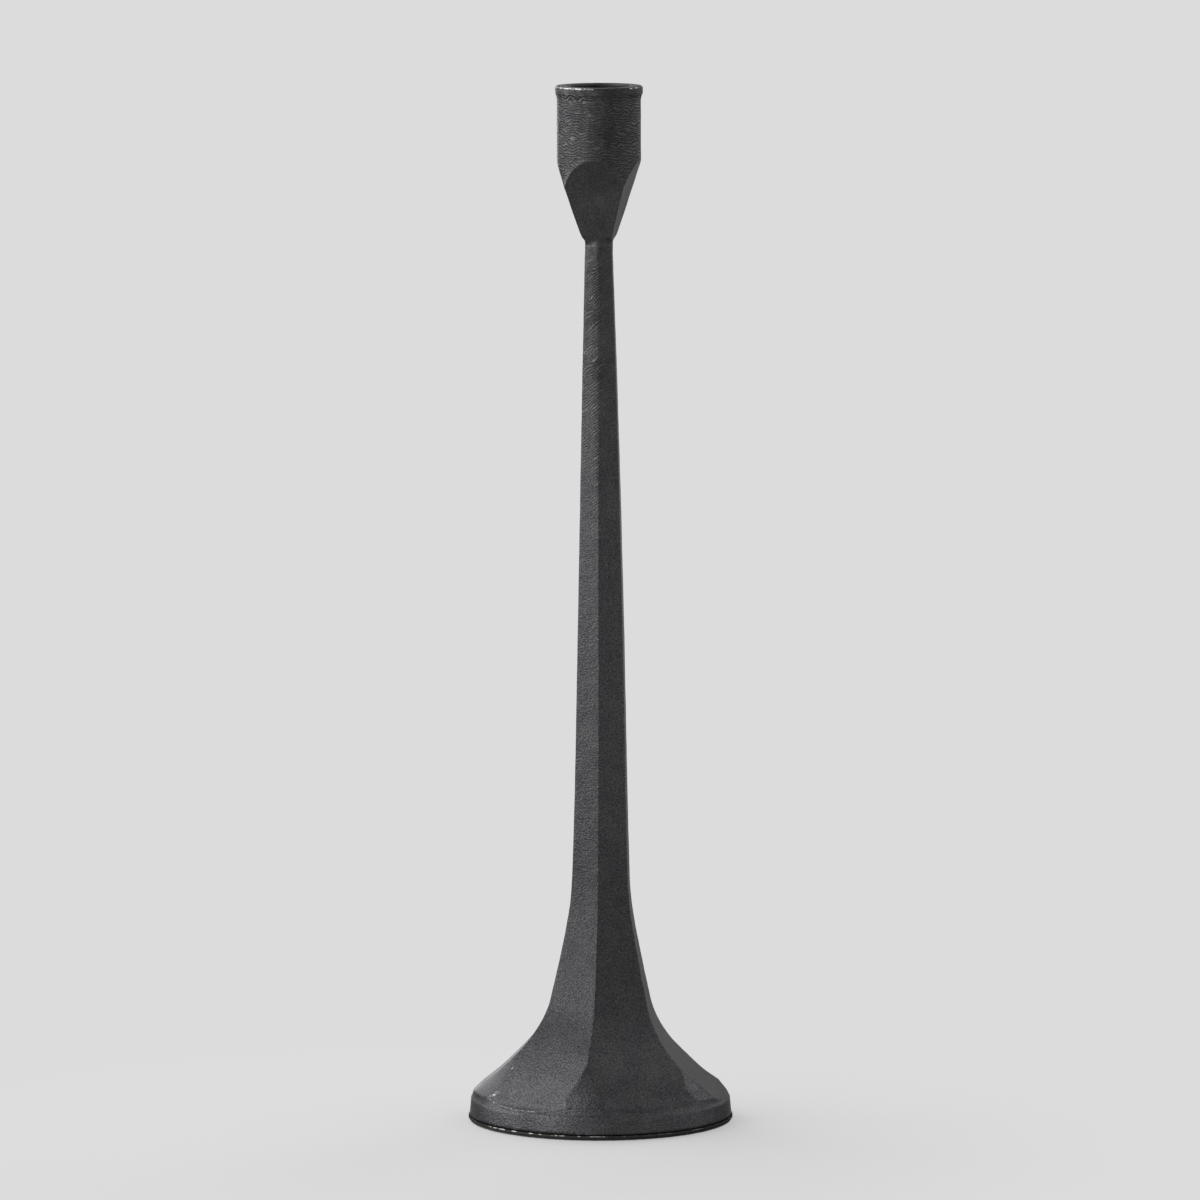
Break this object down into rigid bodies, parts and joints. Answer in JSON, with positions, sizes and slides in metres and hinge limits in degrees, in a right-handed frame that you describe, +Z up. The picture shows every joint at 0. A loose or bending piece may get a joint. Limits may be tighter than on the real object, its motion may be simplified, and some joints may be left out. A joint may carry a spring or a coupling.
{
  "type": "taper candle holder",
  "caption": "Tall cast iron taper candle holder: a round cup with scooped sides on a slim six-sided stem that flares into a faceted round foot.",
  "frame": {"origin": "on the axis of the stem, at the underside of the foot, where the holder stands on the table", "axes": "+Z up along the stem to the mouth of the cup, -Y towards the side seen in the picture, +X to the viewer's right"},
  "size_m": [0.097, 0.097, 0.38],
  "materials": {
    "cast_iron": "as cast, fine grain, waxed charcoal grey, worn bright along the edges",
    "blacked_steel": "pressed sheet steel, blackened",
    "zinc_steel": "bright zinc plate",
    "felt": "pressed black felt"
  },
  "bodies": {
    "root": {"felt_pad": "felt", "base_plate": "blacked_steel", "base": "cast_iron", "stem": "cast_iron", "candle_cup": "cast_iron", "neck_stud": "zinc_steel", "tie_bolt": "zinc_steel", "lock_washer": "zinc_steel", "flat_washer": "zinc_steel"}
  },
  "joints": []
}
